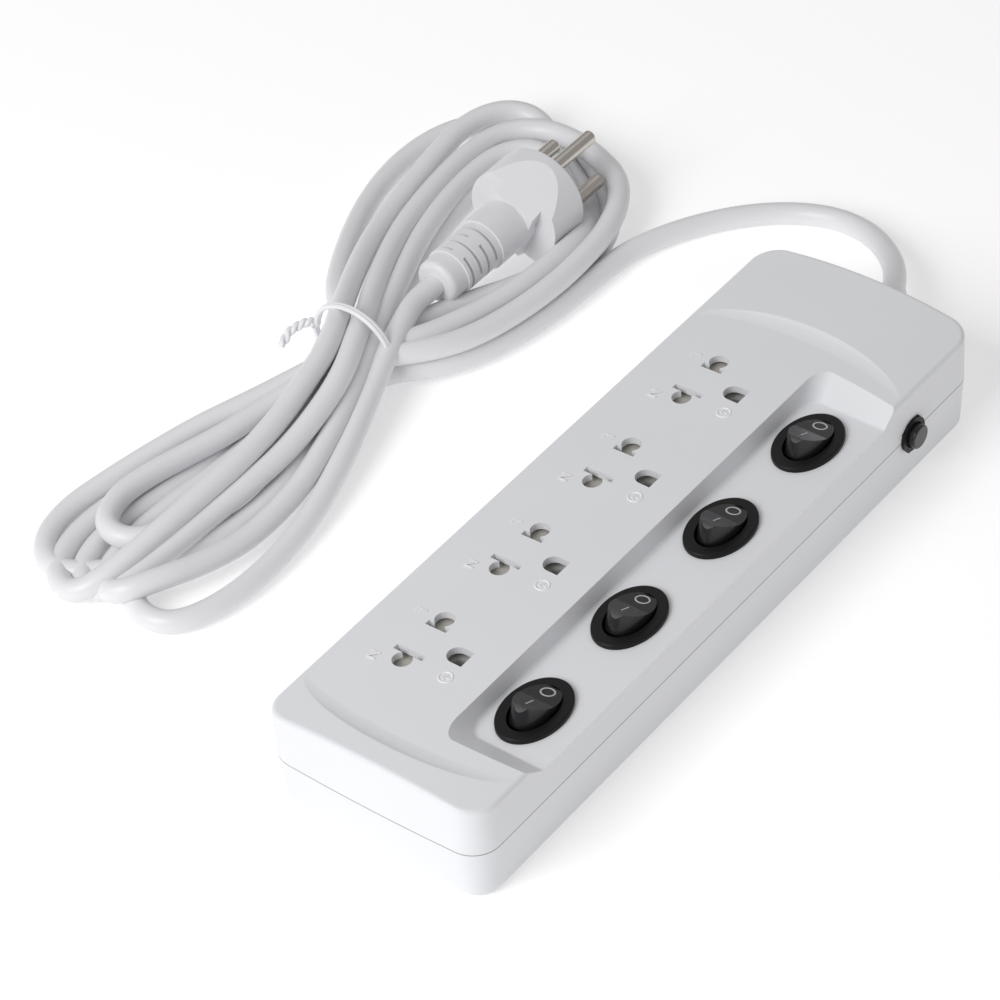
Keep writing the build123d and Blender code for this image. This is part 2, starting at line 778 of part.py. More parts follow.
clamp_bottom = seam_z - 1.5
clamp_top = seam_z + 7.5
with BuildPart() as cord_clamp:
    with BuildSketch(Plane.XY.offset(clamp_bottom)):
        with Locations((0, clamp_y)):
            RectangleRounded(2 * clamp_post_x + 7, clamp_width, 1.5)
    extrude(amount=clamp_top - clamp_bottom)
    with BuildSketch(Plane.XZ.offset(-clamp_y - clamp_width)):
        with Locations((0, seam_z)):
            Circle(cord_radius + entry_clearance)
        with Locations((0, seam_z - cord_radius)):
            Rectangle(2 * (cord_radius + entry_clearance), 2 * cord_radius)
    extrude(amount=2 * clamp_width, mode=Mode.SUBTRACT)
    with BuildSketch(Plane.XY.offset(clamp_bottom - 1)):
        with Locations((-clamp_post_x, clamp_y), (clamp_post_x, clamp_y)):
            Circle(screw_radius + 4 * thread_clearance)
    extrude(amount=clamp_top, mode=Mode.SUBTRACT)
save(cord_clamp, "cord_clamp")

with BuildPart() as clamp_screws:
    with BuildSketch(Plane.XY.offset(clamp_top)):
        with Locations((-clamp_post_x, clamp_y), (clamp_post_x, clamp_y)):
            Circle(screw_head_radius)
    extrude(amount=screw_head)
    with BuildSketch(Plane.XY.offset(seam_z - 10)):
        with Locations((-clamp_post_x, clamp_y), (clamp_post_x, clamp_y)):
            Circle(screw_radius)
    extrude(amount=clamp_top - seam_z + 10)
    with BuildSketch(Plane.XY.offset(clamp_top + 1.0)):
        with Locations((-clamp_post_x, clamp_y), (clamp_post_x, clamp_y)):
            Rectangle(3.2, 0.7)
            Rectangle(0.7, 3.2)
    extrude(amount=screw_head, mode=Mode.SUBTRACT)
save(clamp_screws, "clamp_screws")

# Wires inside: straight, across, straight again, so both ends meet what they join square on
bar_mid_z = bar_bottom + bar_thickness / 2
wire_ends = {
    "live_wire": ((1.9, entry_end, seam_z + 0.4), (live_tab_x, live_tab_y, seam_z)),
    "neutral_wire": ((-1.7, entry_end, seam_z + 0.7), (socket_x, bar_y1, bar_mid_z)),
    "earth_wire": ((0.0, entry_end, seam_z - 1.8), (socket_x + earth_offset, bar_y1, bar_mid_z)),
}


def wire_route(start, end):
    """Route along -Y whose middle run is twice as long as its end runs."""
    reach = start[1] - end[1]
    across = sqrt((end[0] - start[0]) ** 2 + (end[2] - start[2]) ** 2)
    turn = 2 * atan2(across, reach)
    run = reach / (2 * (1 + cos(turn)))
    return [start, (start[0], start[1] - run, start[2]), (end[0], end[1] + run, end[2]), end]


def corner_radii(points, share=0.45):
    """Arc at each corner of a route: share of its shorter run over tan of half the turn."""
    spots = [Vector(*point) for point in points]
    radii = []
    for before, corner, after in zip(spots, spots[1:], spots[2:]):
        turn = (corner - before).get_angle(after - corner)
        shorter = min((corner - before).length, (after - corner).length)
        radii.append(share * shorter / tan(radians(turn) / 2))
    return radii


def tube(points, radius):
    """A tube of straight runs joined by tangent arcs, and its path's length."""
    with BuildPart() as built:
        with BuildLine() as path:
            FilletPolyline(*points, radius=corner_radii(points))
        with BuildSketch(Plane(origin=path.line @ 0, z_dir=path.line % 0)):
            Circle(radius)
        sweep()
    return built, path.wires()[0].length


for node, (start, end) in wire_ends.items():
    route = wire_route(start, end)
    wire, wire_length = tube(route, core_diameter / 2)
    print(node, "radii", [round(radius, 1) for radius in corner_radii(route)])
    save(wire, node)

# ================================================================ free cord
tip = boot_tip.origin
heading = boot_tip.z_dir
cord_lie = cord_radius + 0.05
lead_route = [
    (tip.X, tip.Y, tip.Z),
    (tip.X + 13 * heading.X, tip.Y + 13 * heading.Y, tip.Z + 13 * heading.Z),
    (-22.0, 167.5, 9.5),
    (-34.0, 175.5, 6.4),
    (-48.0, 178.8, 4.4),
    (-61.5, 175.0, cord_lie),
    (-74.0, 166.0, cord_lie),
    (-84.0, 154.5, cord_lie),
    (-92.0, 141.0, cord_lie),
    (-98.0, 126.0, cord_lie),
    (-100.5, 112.0, cord_lie),
]
print("lead radii", [round(radius, 1) for radius in corner_radii(lead_route)])
cord_lead, lead_length = tube(lead_route, cord_radius)
lead_share = cord_lead.part.volume / (pi * cord_radius**2 * lead_length)
print(f"lead length {lead_length:.1f}, volume over section times length {lead_share:.4f}")
save(cord_lead, "cord_lead")

# Hank: two flat lobes with a waist, where the tie holds the turns together
tie_y = 34.0
tie_wire = 1.7
waist_x = -135.0
waist_z = 14.0
waist_half_x = 14.0
waist_half_z = 12.0
waist_length = 31.0
hank_top = 15.2
pin_room = 7.0
pin_way = 46.0
upper_lobe = [
    (-149.0, 33.0), (-160.0, 52.0), (-174.0, 73.0), (-184.0, 92.0), (-192.0, 112.0),
    (-195.5, 132.0), (-189.0, 148.0), (-177.0, 160.5), (-161.0, 167.0), (-147.0, 169.0),
    (-135.0, 165.5), (-123.0, 156.0), (-112.0, 144.0), (-104.0, 130.0), (-97.0, 111.0),
    (-95.5, 92.0), (-98.0, 73.0), (-103.0, 57.0), (-109.0, 44.0), (-116.0, 31.0),
]
upper_opening = [
    (-137.0, 60.0), (-147.0, 93.0), (-155.5, 120.0), (-155.0, 138.0), (-149.5, 148.0),
    (-137.0, 148.0), (-121.0, 141.0), (-115.0, 130.0), (-111.6, 116.0), (-110.0, 99.0),
    (-114.0, 83.0), (-121.0, 66.0), (-125.0, 55.0),
]
lower_lobe = [
    (-149.0, 33.0), (-150.0, 5.0), (-153.0, -9.0), (-160.0, -30.0), (-167.0, -52.0),
    (-169.0, -70.0), (-166.0, -86.0), (-157.0, -96.0), (-141.0, -97.0), (-127.0, -94.0),
    (-113.0, -93.0), (-101.0, -92.0), (-95.0, -80.0), (-94.5, -62.0), (-97.0, -39.0),
    (-100.5, -16.0), (-107.0, 4.0), (-116.0, 31.0),
]


def smooth_outline(points):
    """A smooth curve through the points, closed by a straight line."""
    with BuildSketch() as outline:
        with BuildLine():
            curve = Spline(*points)
            Line(curve @ 1, curve @ 0)
        make_face()
    return outline.sketch


with BuildPart() as cord_hank:
    with BuildSketch():
        add(smooth_outline(upper_lobe))
        add(smooth_outline(lower_lobe))
        add(smooth_outline(upper_opening), mode=Mode.SUBTRACT)
    extrude(amount=hank_top)
    with BuildSketch(Plane.XZ.offset(-tie_y)):
        with Locations((waist_x, waist_z)):
            Rectangle(4 * waist_half_x, 4 * waist_half_z)
    extrude(amount=waist_length / 2, both=True, mode=Mode.SUBTRACT)
    with BuildSketch(Plane.XZ.offset(-tie_y)):
        with Locations((waist_x, waist_z)):
            Ellipse(waist_half_x, waist_half_z)
    extrude(amount=waist_length / 2, both=True)
    # Room for the plug, which lies inside the upper lobe
    plug_room = 0.6
    with BuildSketch(Plane.XZ.offset(-plug_face - 1)):
        with Locations((plug_x, plug_z)):
            Circle(head_radius + plug_room)
    extrude(amount=plug_length - 5, mode=Mode.SUBTRACT)
    with BuildSketch(Plane.XY.offset(plug_z - pin_room)):
        with Locations((plug_x, plug_face + pin_way / 2 - 1)):
            Rectangle(2 * head_radius, pin_way)
    extrude(amount=height, mode=Mode.SUBTRACT)
    with BuildSketch(Plane.XZ.offset(-tie_y - waist_length / 2)):
        with Locations((plug_x, plug_z)):
            Circle(cord_radius + plug_room)
    extrude(amount=-waist_length, mode=Mode.SUBTRACT)
save(cord_hank, "cord_hank")

tail_length = plug_face - plug_length - tie_y - waist_length / 2
with BuildPart() as cord_tail:
    with BuildSketch(Plane.XZ.offset(plug_length - plug_face)):
        with Locations((plug_x, plug_z)):
            Circle(cord_radius)
    extrude(amount=tail_length)
print(f"tail length {tail_length:.1f}")
save(cord_tail, "cord_tail")

tie_gap = 0.15
tie_half_x = waist_half_x + tie_gap + tie_wire / 2
tie_half_z = waist_half_z + tie_gap + tie_wire / 2
tie_tail = [
    (waist_x - tie_half_x, tie_y, waist_z + 1.5),
    (waist_x - tie_half_x - 4.5, tie_y - 4, waist_z + 0.5),
    (waist_x - tie_half_x - 5.5, tie_y - 11, waist_z - 4),
]
tie_end, tie_end_length = tube(tie_tail, tie_wire / 2)
with BuildPart() as cord_tie:
    with BuildSketch(Plane.XZ.offset(-tie_y)):
        with Locations((waist_x, waist_z)):
            Ellipse(tie_half_x + tie_wire / 2, tie_half_z + tie_wire / 2)
            Ellipse(tie_half_x - tie_wire / 2, tie_half_z - tie_wire / 2, mode=Mode.SUBTRACT)
    extrude(amount=tie_wire / 2, both=True)
    add(tie_end.part)
save(cord_tie, "cord_tie")

# ================================================================ plug
# Built with its face at the origin and its pins along +Y, then rolled and moved into place
plug_place = Location((plug_x, plug_face, plug_z), (0, plug_roll, 0))
slope = (head_radius - neck_radius) / (neck_start - head_full)
shoulder = head_radius - slope * (head_length - head_full)
with BuildPart() as plug_body:
    with BuildSketch(Plane.XZ):
        Circle(head_radius)
    extrude(amount=head_length)
    fillet(plug_body.edges().filter_by(GeomType.CIRCLE).sort_by(Axis.Y)[-1], radius=0.9)
    with BuildSketch(Plane.YZ):
        with BuildLine():
            Polyline(
                (1, -head_radius), (1, head_radius), (-head_full, head_radius),
                (-head_length, shoulder), (-head_length, -shoulder), (-head_full, -head_radius),
                close=True,
            )
        make_face()
    extrude(amount=head_radius + 1, both=True, mode=Mode.INTERSECT)
    with BuildSketch(Plane.YZ):
        with BuildLine():
            Polyline(
                (-head_length + 1, -shoulder), (-head_length + 1, shoulder),
                (-head_length, shoulder), (-neck_start, neck_radius),
                (-neck_start, -neck_radius), (-head_length, -shoulder),
                close=True,
            )
        make_face()
    extrude(amount=neck_radius - 1, both=True)
    with BuildSketch(Plane.XZ.offset(head_length - 1)):
        Circle(neck_radius)
    extrude(amount=relief_start - head_length + 1)
plug_body.part.locate(plug_place)
save(plug_body, "plug_body")

groove_depth = 1.5
groove_width = 1.3
groove_pitch = 4.0
with BuildPart() as plug_relief:
    with BuildSketch(Plane.XZ.offset(relief_start)):
        Circle(relief_radius)
    extrude(amount=bead_start - relief_start)
    for row in range(4):
        with BuildSketch(Plane.XZ.offset(relief_start + 2.2 + groove_pitch * row)):
            Circle(relief_radius + 1)
            Circle(relief_radius - groove_depth, mode=Mode.SUBTRACT)
            Rectangle(3 * relief_radius, 4.5, rotation=90 * row, mode=Mode.SUBTRACT)
        extrude(amount=groove_width, mode=Mode.SUBTRACT)
    with BuildSketch(Plane.XZ.offset(bead_start)):
        Circle(bead_radius)
    extrude(amount=plug_length - bead_start)
    fillet(plug_relief.edges().filter_by(GeomType.CIRCLE).sort_by(Axis.Y)[0], radius=2.2)
plug_relief.part.locate(plug_place)
save(plug_relief, "plug_relief")

for node, x, z, reach in (
    ("plug_pin_line", -pin_spread, 0.0, pin_length),
    ("plug_pin_neutral", pin_spread, 0.0, pin_length),
    ("plug_pin_earth", 0.0, earth_pin_rise, earth_pin_length),
):
    with BuildPart() as plug_pin:
        with BuildSketch(Plane.XZ):
            with Locations((x, z)):
                Circle(pin_radius)
        extrude(amount=-reach)
        fillet(plug_pin.edges().sort_by(Axis.Y)[-1], radius=1.0)
    plug_pin.part.locate(plug_place)
    save(plug_pin, node)
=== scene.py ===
import json
from math import cos, pi, radians, sin

import bmesh
import bpy
from mathutils import Euler, Matrix, Vector
from mathutils.bvhtree import BVHTree


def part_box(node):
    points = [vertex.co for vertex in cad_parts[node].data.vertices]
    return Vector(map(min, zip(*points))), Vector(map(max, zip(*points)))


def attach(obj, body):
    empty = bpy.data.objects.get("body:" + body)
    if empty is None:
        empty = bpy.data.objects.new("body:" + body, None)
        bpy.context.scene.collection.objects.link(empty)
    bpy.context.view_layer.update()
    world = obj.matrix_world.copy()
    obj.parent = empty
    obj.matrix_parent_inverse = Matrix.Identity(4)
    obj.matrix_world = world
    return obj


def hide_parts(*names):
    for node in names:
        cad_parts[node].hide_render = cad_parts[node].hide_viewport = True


# %% [markdown]
# # A mains power strip with four switched sockets
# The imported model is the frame. It already holds the covers, switches, sockets and plug, so this
# file adds what a solid modeller leaves out: the cord's real turns, its wire tie, the marks on
# the cover and rockers, and a finish for every surface. Everything is in metres, in the frame's
# own place, so a new piece goes where the frame says and nothing has to be fitted.

# %% Load the frame
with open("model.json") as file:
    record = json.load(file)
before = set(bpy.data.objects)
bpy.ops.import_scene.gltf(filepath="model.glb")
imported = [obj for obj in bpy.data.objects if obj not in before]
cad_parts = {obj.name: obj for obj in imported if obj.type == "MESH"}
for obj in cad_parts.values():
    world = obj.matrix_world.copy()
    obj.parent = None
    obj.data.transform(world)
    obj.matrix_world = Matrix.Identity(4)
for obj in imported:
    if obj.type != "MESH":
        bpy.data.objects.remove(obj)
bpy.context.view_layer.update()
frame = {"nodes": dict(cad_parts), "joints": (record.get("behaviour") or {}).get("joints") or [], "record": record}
MM = 0.001
SOCKETS = 4
HOUSING = "housing"


# %% [markdown]
# ## The camera
# A long lens from high on the switch side. Its angles come from matching the housing's straight
# edges, and a long lens keeps those edges almost parallel.

# %% Camera
camera_data = bpy.data.cameras.new("camera")
camera_data.lens = 145.83
camera_data.sensor_width = 36.0
camera_data.clip_end = 20.0
camera = bpy.data.objects.new("camera", camera_data)
camera.location = (0.543749, -0.685755, 0.827207)
camera.rotation_euler = Euler((radians(48.0353), radians(3.8045), radians(37.4983)), "XYZ")
bpy.context.collection.objects.link(camera)
bpy.context.scene.camera = camera
print("camera lens", round(camera_data.lens, 1), "mm")

# %% [markdown]
# ## Small helpers
# Every new piece is linked once, rides on a body, and gets its material.
# Curves and text are turned into plain meshes, with their place in the mesh and the object left
# at the origin, so that a pattern on Object coordinates stays put.


# %% Helpers
def place(obj, body, material):
    """Link a finished piece, give it its material, and let it ride on a body."""
    if obj.name not in bpy.context.scene.collection.all_objects:
        bpy.context.collection.objects.link(obj)
    obj.data.materials.clear()
    obj.data.materials.append(material)
    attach(obj, body)
    return obj


def to_mesh(obj, name):
    """Turn a curve, text or geometry-nodes object into a plain mesh object at the origin."""
    bpy.context.view_layer.update()
    graph = bpy.context.evaluated_depsgraph_get()
    mesh = bpy.data.meshes.new_from_object(obj.evaluated_get(graph))
    mesh.transform(obj.matrix_world)
    mesh.name = name
    bpy.data.objects.remove(obj)
    return bpy.data.objects.new(name, mesh)


def curve_line(name, splines, bevel):
    """A round wire along one or more smooth NURBS splines of points in metres."""
    curve = bpy.data.curves.new(name, "CURVE")
    curve.dimensions = "3D"
    curve.bevel_depth = bevel
    curve.bevel_resolution = 5
    curve.use_fill_caps = True
    for points, closed in splines:
        spline = curve.splines.new("NURBS")
        spline.points.add(len(points) - 1)
        for point, place_at in zip(spline.points, points):
            point.co = (*place_at, 1.0)
        spline.use_cyclic_u = closed
        spline.order_u = 3
        spline.use_endpoint_u = not closed
        spline.resolution_u = 8
    obj = bpy.data.objects.new(name, curve)
    bpy.context.collection.objects.link(obj)
    return obj


print("helpers ready: place, to_mesh, curve_line")

# %% [markdown]
# ## Finishes
# Moulded plastic is never perfectly smooth: a fine spark texture breaks up its highlight, and the
# tone drifts a little across a large panel. An image could hold both, but it would need a UV map
# for every part. Noise in Object coordinates needs none and has no seams, so one node group makes
# the grain, and each material places it with its own scale and depth.


# %% Grain group
def new_group(name, inputs, outputs):
    """An empty shader node group with named float sockets."""
    group = bpy.data.node_groups.new(name, "ShaderNodeTree")
    for label, value in inputs:
        socket = group.interface.new_socket(label, in_out="INPUT", socket_type="NodeSocketFloat")
        socket.default_value = value
    for label in outputs:
        group.interface.new_socket(label, in_out="OUTPUT", socket_type="NodeSocketFloat")
    start = group.nodes.new("NodeGroupInput")
    end = group.nodes.new("NodeGroupOutput")
    return group, start, end


def make_grain():
    """Fine grain height, plus a slow drift value from 0 to 1."""
    group, start, end = new_group(
        "moulded grain", [("Grain scale", 3000.0), ("Drift scale", 30.0)], ["Height", "Drift"]
    )
    links, nodes = group.links, group.nodes
    where = nodes.new("ShaderNodeTexCoord")
    fine = nodes.new("ShaderNodeTexNoise")
    fine.inputs["Detail"].default_value = 3.0
    fine.inputs["Roughness"].default_value = 0.6
    slow = nodes.new("ShaderNodeTexNoise")
    slow.inputs["Detail"].default_value = 2.0
    links.new(where.outputs["Object"], fine.inputs["Vector"])
    links.new(where.outputs["Object"], slow.inputs["Vector"])
    links.new(start.outputs["Grain scale"], fine.inputs["Scale"])
    links.new(start.outputs["Drift scale"], slow.inputs["Scale"])
    links.new(fine.outputs["Fac"], end.inputs["Height"])
    links.new(slow.outputs["Fac"], end.inputs["Drift"])
    return group


GRAIN = make_grain()
print("group", GRAIN.name)

# %% [markdown]
# The two covers meet in a thin gap, and shadow falls into it. It is too fine to be worth cutting into a mesh, so a
# second group gives 1 on a narrow band at one height, and the shell's colour darkens there: this is painted shade
# standing in for that shadow.


# %% Painted seam shadow group
def make_seam_shadow():
    """1 on a thin band at one height, 0 elsewhere: the mask of the painted shadow in the seam."""
    group, start, end = new_group(
        "painted seam shadow", [("Height", 0.0185), ("Half width", 0.0002)], ["Line"]
    )
    links, nodes = group.links, group.nodes
    where = nodes.new("ShaderNodeTexCoord")
    split = nodes.new("ShaderNodeSeparateXYZ")
    offset = nodes.new("ShaderNodeMath")
    offset.operation = "SUBTRACT"
    size = nodes.new("ShaderNodeMath")
    size.operation = "ABSOLUTE"
    inside = nodes.new("ShaderNodeMath")
    inside.operation = "LESS_THAN"
    links.new(where.outputs["Object"], split.inputs["Vector"])
    links.new(split.outputs["Z"], offset.inputs[0])
    links.new(start.outputs["Height"], offset.inputs[1])
    links.new(offset.outputs[0], size.inputs[0])
    links.new(size.outputs[0], inside.inputs[0])
    links.new(start.outputs["Half width"], inside.inputs[1])
    links.new(inside.outputs[0], end.inputs["Line"])
    return group


SEAM_SHADOW = make_seam_shadow()
print("group", SEAM_SHADOW.name)

# %% [markdown]
# A plastic finish needs four numbers: its colour, how far the tone drifts, its roughness and the
# depth of its grain. A function builds the whole node tree, so each finish is one line below.


# %% Plastic materials
def plastic(name, light, dark, rough, grain_depth, grain_scale=3000.0, seam=None, coat=0.0, specular=0.5):
    """A moulded plastic: colour drifts between two tones and the grain bumps the surface; a seam height adds a
    band of painted shade for the gap between the covers.
    """
    material = bpy.data.materials.new(name)
    material.use_nodes = True
    nodes, links = material.node_tree.nodes, material.node_tree.links
    shader = nodes["Principled BSDF"]
    grain = nodes.new("ShaderNodeGroup")
    grain.node_tree = GRAIN
    grain.inputs["Grain scale"].default_value = grain_scale
    tone = nodes.new("ShaderNodeMix")
    tone.data_type = "RGBA"
    tone.inputs["A"].default_value = (*dark, 1.0)
    tone.inputs["B"].default_value = (*light, 1.0)
    links.new(grain.outputs["Drift"], tone.inputs["Factor"])
    colour = tone.outputs["Result"]
    # Painted shade: a dark band at the seam height stands in for the shadow that falls into the gap between the
    # covers.
    if seam is not None:
        line = nodes.new("ShaderNodeGroup")
        line.node_tree = SEAM_SHADOW
        line.inputs["Height"].default_value = seam
        painted_seam_shade = nodes.new("ShaderNodeMix")
        painted_seam_shade.data_type = "RGBA"
        painted_seam_shade.inputs["B"].default_value = (0.30, 0.29, 0.30, 1.0)
        links.new(line.outputs["Line"], painted_seam_shade.inputs["Factor"])
        links.new(colour, painted_seam_shade.inputs["A"])
        colour = painted_seam_shade.outputs["Result"]
    links.new(colour, shader.inputs["Base Color"])
    spread = nodes.new("ShaderNodeMapRange")
    spread.inputs["To Min"].default_value = rough - 0.04
    spread.inputs["To Max"].default_value = rough + 0.04
    links.new(grain.outputs["Drift"], spread.inputs["Value"])
    links.new(spread.outputs["Result"], shader.inputs["Roughness"])
    bump = nodes.new("ShaderNodeBump")
    bump.inputs["Strength"].default_value = 0.6
    bump.inputs["Distance"].default_value = grain_depth
    links.new(grain.outputs["Height"], bump.inputs["Height"])
    links.new(bump.outputs["Normal"], shader.inputs["Normal"])
    shader.inputs["Specular IOR Level"].default_value = specular
    if coat:
        shader.inputs["Coat Weight"].default_value = coat
        shader.inputs["Coat Roughness"].default_value = 0.12
    return material


SEAM_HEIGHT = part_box("top_cover")[0][2]
# The white shell gets the painted seam shadow where the top cover meets the bottom one.
WHITE = plastic(
    "white shell", (0.80, 0.805, 0.83), (0.77, 0.775, 0.80), 0.46, 0.00002, seam=SEAM_HEIGHT
)
WHITE_MARK = plastic("white raised mark", (0.90, 0.90, 0.92), (0.87, 0.87, 0.89), 0.4, 0.00001)
PLUG_WHITE = plastic("white plug", (0.80, 0.80, 0.82), (0.77, 0.77, 0.79), 0.36, 0.000015)
CORD_WHITE = plastic("white cord sheath", (0.80, 0.80, 0.82), (0.76, 0.76, 0.775), 0.38, 0.00002)
TIE_WHITE = plastic("white tie sleeve", (0.88, 0.88, 0.90), (0.84, 0.84, 0.86), 0.25, 0.00001)
CARRIER = plastic("inner white", (0.72, 0.71, 0.69), (0.68, 0.67, 0.65), 0.5, 0.00002)
SHUTTER = plastic("shutter grey", (0.52, 0.50, 0.46), (0.46, 0.44, 0.40), 0.45, 0.00001)
BLACK_MATTE = plastic(
    "black bezel", (0.010, 0.010, 0.010), (0.006, 0.006, 0.006), 0.42, 0.00004, 2200.0,
    specular=0.22,
)
BLACK_GLOSS = plastic(
    "black rocker", (0.009, 0.009, 0.010), (0.006, 0.006, 0.007), 0.26, 0.000006, 1500.0,
    coat=0.3, specular=0.35,
)
MARK_PAINT = plastic("grey-white marking", (0.52, 0.52, 0.54), (0.46, 0.46, 0.48), 0.5, 0.000005)
CORE_BROWN = plastic("brown core", (0.20, 0.09, 0.04), (0.16, 0.07, 0.03), 0.4, 0.00001)
CORE_BLUE = plastic("blue core", (0.04, 0.12, 0.42), (0.03, 0.10, 0.36), 0.4, 0.00001)
CORE_GREEN = plastic("green core", (0.12, 0.36, 0.06), (0.10, 0.30, 0.05), 0.4, 0.00001)
print("seam at", round(SEAM_HEIGHT * 1000, 2), "mm above the floor")

# %% [markdown]
# Metal shows its making in fine lines. The pins are turned and plated, so their lines run round
# the pin, and a stretched noise draws them.


# %% Metal materials
def metal(name, colour, rough, stretch, depth):
    """A metal whose fine marks are stretched along one axis."""
    material = bpy.data.materials.new(name)
    material.use_nodes = True
    nodes, links = material.node_tree.nodes, material.node_tree.links
    shader = nodes["Principled BSDF"]
    shader.inputs["Metallic"].default_value = 1.0
    shader.inputs["Base Color"].default_value = (*colour, 1.0)
    where = nodes.new("ShaderNodeTexCoord")
    turn = nodes.new("ShaderNodeMapping")
    turn.inputs["Scale"].default_value = stretch
    marks = nodes.new("ShaderNodeTexNoise")
    marks.inputs["Scale"].default_value = 900.0
    marks.inputs["Detail"].default_value = 4.0
    spread = nodes.new("ShaderNodeMapRange")
    spread.inputs["To Min"].default_value = rough - 0.06
    spread.inputs["To Max"].default_value = rough + 0.08
    bump = nodes.new("ShaderNodeBump")
    bump.inputs["Strength"].default_value = 0.4
    bump.inputs["Distance"].default_value = depth
    links.new(where.outputs["Object"], turn.inputs["Vector"])
    links.new(turn.outputs["Vector"], marks.inputs["Vector"])
    links.new(marks.outputs["Fac"], spread.inputs["Value"])
    links.new(spread.outputs["Result"], shader.inputs["Roughness"])
    links.new(marks.outputs["Fac"], bump.inputs["Height"])
    links.new(bump.outputs["Normal"], shader.inputs["Normal"])
    return material


NICKEL = metal("nickel pin", (0.60, 0.56, 0.52), 0.22, (0.2, 3.0, 0.2), 0.00001)
BRASS = metal("brass contact", (0.75, 0.56, 0.25), 0.30, (1.0, 0.2, 1.0), 0.00001)
STEEL = metal("plated steel", (0.62, 0.62, 0.63), 0.28, (1.0, 1.0, 1.0), 0.00001)
print("metals", [finish.name for finish in (NICKEL, BRASS, STEEL)])

# %% [markdown]
# ## Finishes for the frame's own parts
# A CAD part keeps its mesh and only gets a material. The record says which slot each part uses,
# so one table from slot to material covers them all.

# %% Materials on the CAD parts
FINISH = {
    "white_plastic": WHITE,
    "white_plug": PLUG_WHITE,
    "cord_white": CORD_WHITE,
    "black_matte": BLACK_MATTE,
    "black_gloss": BLACK_GLOSS,
    "shutter_grey": SHUTTER,
    "carrier_white": CARRIER,
    "brass": BRASS,
    "nickel": NICKEL,
    "steel": STEEL,
    "tie_white": TIE_WHITE,
    "core_brown": CORE_BROWN,
    "core_blue": CORE_BLUE,
    "core_green": CORE_GREEN,
}
slot_of = {part["node"]: part["material_slot"] for part in frame["record"]["subparts"]}
for node, obj in frame["nodes"].items():
    obj.data.materials.clear()
    obj.data.materials.append(FINISH[slot_of[node]])
print("finished", len(slot_of), "CAD parts")

# %% [markdown]
# ## The cord
# The lead leaves its strain relief, bends down to the table and joins a hank wound in a figure
# of eight. A wire tie holds the turns at the waist. Each turn passes the tie twice: it comes
# down from the right of the upper lobe to the left of the lower lobe, folds, climbs on the
# right, and crosses over to the upper left. Six folds and five far arcs make one spline.
# It could be simulated, but a tied hank keeps the shape it was wound in, so the points are listed, as the control
# points of one smooth NURBS spline, in millimetres.

# %% The lead, as it leaves the housing
CORD_DIAMETER = 0.0075
LEAD = [
    (-4.6, 144.0, 16.35), (-10.5, 155.3, 13.6), (-22.0, 167.5, 9.5), (-34.0, 175.5, 6.4),
    (-48.0, 178.8, 4.4), (-61.5, 175.0, 3.8), (-74.0, 166.0, 3.8), (-84.0, 154.5, 3.8),
    (-92.0, 141.0, 3.8), (-97.0, 127.0, 3.8), (-98.0, 112.0, 4.0), (-98.6, 96.0, 4.0),
    (-100.5, 79.0, 4.0), (-104.5, 62.0, 4.5), (-111.5, 46.5, 6.0), (-123.0, 34.0, 7.0),
    (-131.0, 15.0, 6.5),
]

# %% Folds of the lower lobe, from its left side round to its right side
FOLD_E2 = [
    (-138.0, -8.0, 6.0), (-138.5, -26.0, 4.0), (-140.5, -44.0, 4.0), (-141.5, -62.0, 4.0),
    (-139.5, -78.0, 4.0), (-134.0, -88.5, 5.0), (-125.0, -91.5, 9.0), (-117.5, -81.0, 10.5),
    (-112.0, -66.0, 8.5), (-108.7, -48.0, 7.0), (-110.0, -24.0, 8.0), (-113.9, -7.0, 10.0),
    (-119.9, 13.0, 13.5), (-127.0, 32.0, 17.0),
]
FOLD_A = [
    (-144.9, -3.0, 12.0), (-153.0, -20.0, 10.0), (-159.0, -38.0, 8.0), (-163.8, -54.5, 6.0),
    (-166.8, -69.0, 4.5), (-163.5, -83.0, 4.0), (-154.0, -90.5, 4.0), (-142.5, -86.5, 4.0),
    (-132.5, -76.0, 4.0), (-124.0, -61.0, 4.0), (-118.0, -46.0, 4.0), (-116.5, -30.0, 5.0),
    (-118.6, -12.0, 7.5), (-123.0, 10.0, 9.5), (-128.0, 30.0, 11.0),
]
FOLD_D = [
    (-142.5, 10.0, 8.0), (-143.0, -10.0, 5.0), (-144.5, -28.0, 4.0), (-147.5, -48.0, 4.0),
    (-149.5, -66.0, 4.0), (-147.5, -82.0, 4.0), (-138.0, -93.0, 4.5), (-129.0, -88.0, 7.0),
    (-124.8, -70.0, 9.0), (-122.8, -50.0, 10.5), (-121.0, -34.0, 12.0), (-119.6, -17.0, 14.0),
    (-120.6, 0.0, 17.0), (-123.5, 16.0, 20.0), (-131.5, 33.0, 21.5),
]
FOLD_B = [
    (-136.0, 12.0, 13.0), (-140.0, -5.0, 12.0), (-142.5, -20.0, 11.5), (-147.0, -34.0, 11.0),
    (-150.8, -48.0, 11.0), (-152.0, -61.0, 11.0), (-147.0, -72.5, 11.0), (-137.0, -73.5, 10.5),
    (-130.0, -64.0, 10.0), (-127.5, -50.0, 9.5), (-127.5, -34.0, 10.0), (-129.0, -16.0, 12.0),
    (-131.0, 2.0, 14.5), (-136.0, 18.0, 16.5), (-141.0, 32.0, 17.5),
]
FOLD_C = [
    (-141.0, 12.0, 7.0), (-148.0, -4.0, 7.0), (-151.0, -20.0, 5.0), (-154.0, -40.0, 4.0),
    (-157.0, -60.0, 4.0), (-157.0, -78.0, 4.0), (-150.0, -92.5, 4.0), (-138.5, -97.0, 5.5),
    (-131.5, -87.0, 10.0), (-128.5, -70.0, 13.5), (-127.2, -50.0, 15.5), (-126.0, -30.0, 17.0),
    (-127.2, -11.0, 19.0), (-129.7, 4.0, 21.0), (-133.0, 20.0, 22.5), (-139.5, 33.0, 22.5),
]
